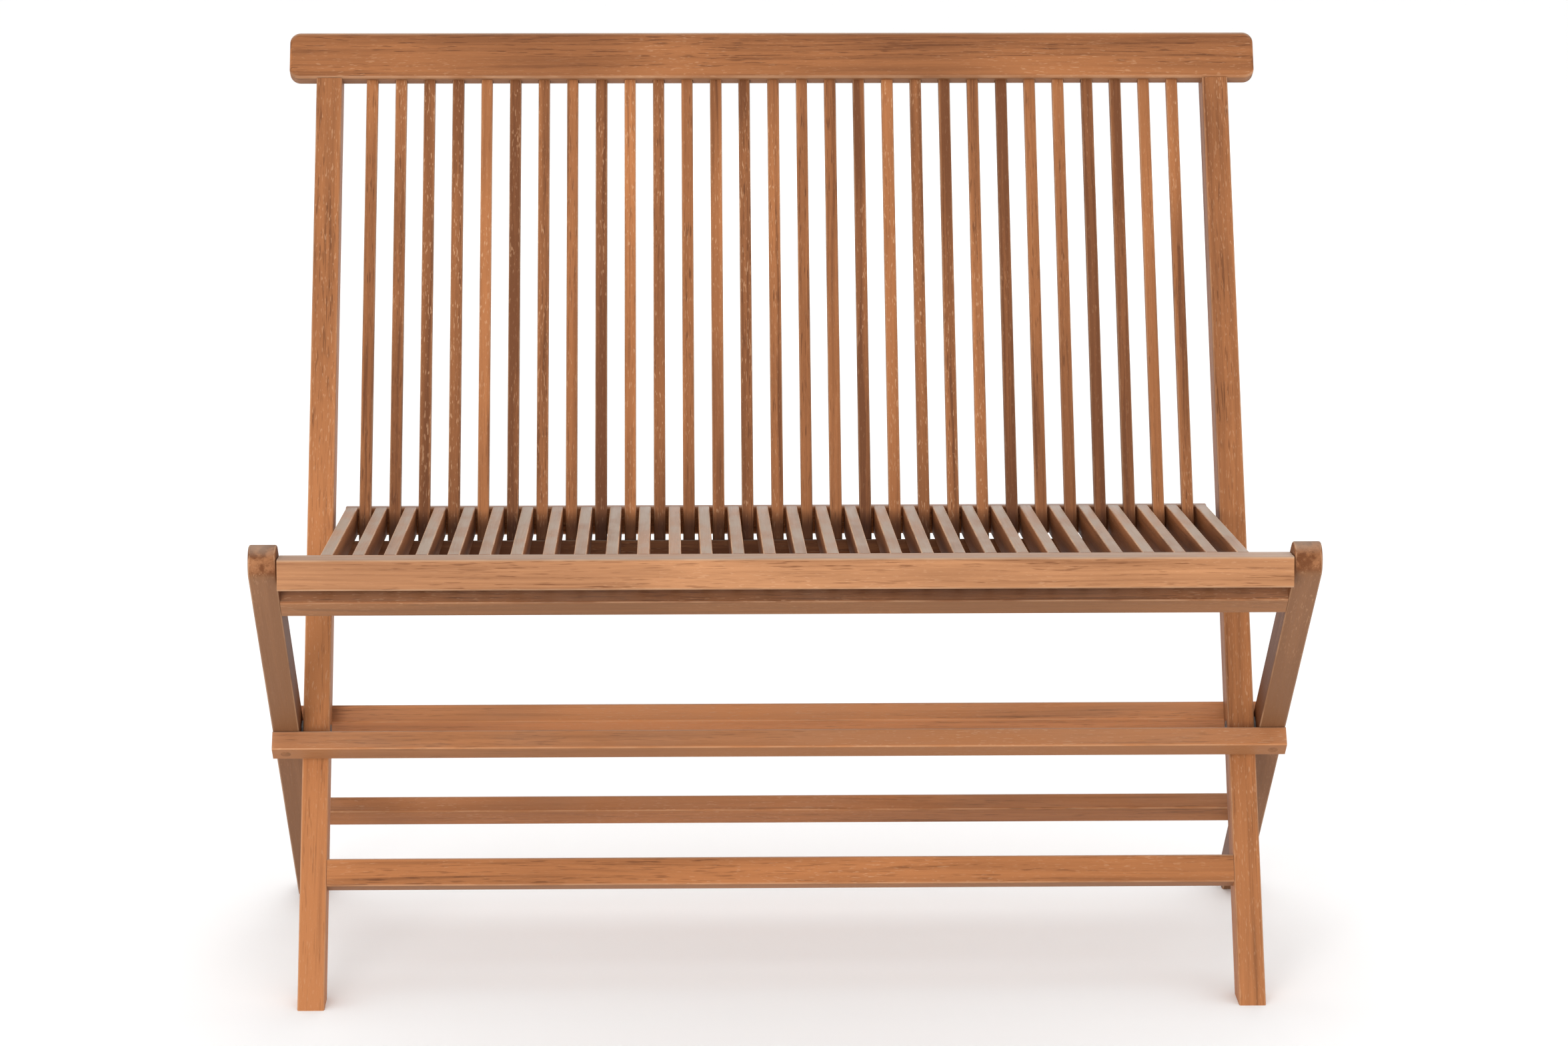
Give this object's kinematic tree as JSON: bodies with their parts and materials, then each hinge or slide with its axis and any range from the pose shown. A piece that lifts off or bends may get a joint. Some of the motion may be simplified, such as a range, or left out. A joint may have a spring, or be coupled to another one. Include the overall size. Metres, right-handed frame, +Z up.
{
  "type": "folding bench",
  "caption": "Folding slatted wooden bench with two crossing frames and a seat whose slats pass between the back slats.",
  "frame": {"origin": "on the floor, under the centre of the open bench's bounding box", "axes": "+X along the bench's width, +Y from the seat's front towards the back, +Z up"},
  "size_m": [0.99, 0.6626, 0.884],
  "materials": {
    "teak": "oiled satin",
    "slat_teak": "oiled satin",
    "seat_teak": "lightly weathered",
    "plug_teak": "end grain, oiled",
    "steel": "brushed"
  },
  "bodies": {
    "back_frame": {"stile_left": "teak", "stile_right": "teak", "crest_rail": "teak", "lower_back_rail": "teak", "front_stretcher": "teak", "back_slat_01": "slat_teak", "back_slat_02": "slat_teak", "back_slat_03": "slat_teak", "back_slat_04": "slat_teak", "back_slat_05": "slat_teak", "back_slat_06": "slat_teak", "back_slat_07": "slat_teak", "back_slat_08": "slat_teak", "back_slat_09": "slat_teak", "back_slat_10": "slat_teak", "back_slat_11": "slat_teak", "back_slat_12": "slat_teak", "back_slat_13": "slat_teak", "back_slat_14": "slat_teak", "back_slat_15": "slat_teak", "back_slat_16": "slat_teak", "back_slat_17": "slat_teak", "back_slat_18": "slat_teak", "back_slat_19": "slat_teak", "back_slat_20": "slat_teak", "back_slat_21": "slat_teak", "back_slat_22": "slat_teak", "back_slat_23": "slat_teak", "back_slat_24": "slat_teak", "back_slat_25": "slat_teak", "back_slat_26": "slat_teak", "back_slat_27": "slat_teak", "back_slat_28": "slat_teak", "back_slat_29": "slat_teak", "pivot_bolt_left": "steel", "pivot_bolt_right": "steel", "pivot_washers": "steel", "pivot_nuts": "steel"},
    "leg_frame": {"leg_left": "teak", "leg_right": "teak", "upper_rail": "teak", "rear_stretcher": "teak", "front_stop_rail": "teak", "rear_stop_rail": "teak", "stop_rail_screws": "steel", "wood_plugs": "plug_teak", "seat_pin_left": "steel", "seat_pin_right": "steel"},
    "seat": {"seat_front_rail": "seat_teak", "seat_rear_rail": "seat_teak", "seat_slats_01": "seat_teak", "seat_slats_02": "seat_teak", "seat_slats_03": "seat_teak", "seat_slats_04": "seat_teak", "seat_slats_05": "seat_teak", "seat_slats_06": "seat_teak", "seat_slats_07": "seat_teak", "seat_slats_08": "seat_teak", "seat_slats_09": "seat_teak", "seat_slats_10": "seat_teak"}
  },
  "joints": [
    {"name": "leg_fold", "type": "hinge", "parent": "back_frame", "child": "leg_frame", "pos_m": [0, -0.0506, 0.23634], "axis": [1, 0, 0], "range_deg": [-72, 0]},
    {"name": "seat_fold", "type": "hinge", "parent": "leg_frame", "child": "seat", "pos_m": [0, -0.30524, 0.45561], "axis": [1, 0, 0], "range_deg": [0, 120.25]}
  ],
  "couplings": [
    {"joint": "seat_fold", "follows": "leg_fold", "ratio": -1.67}
  ]
}
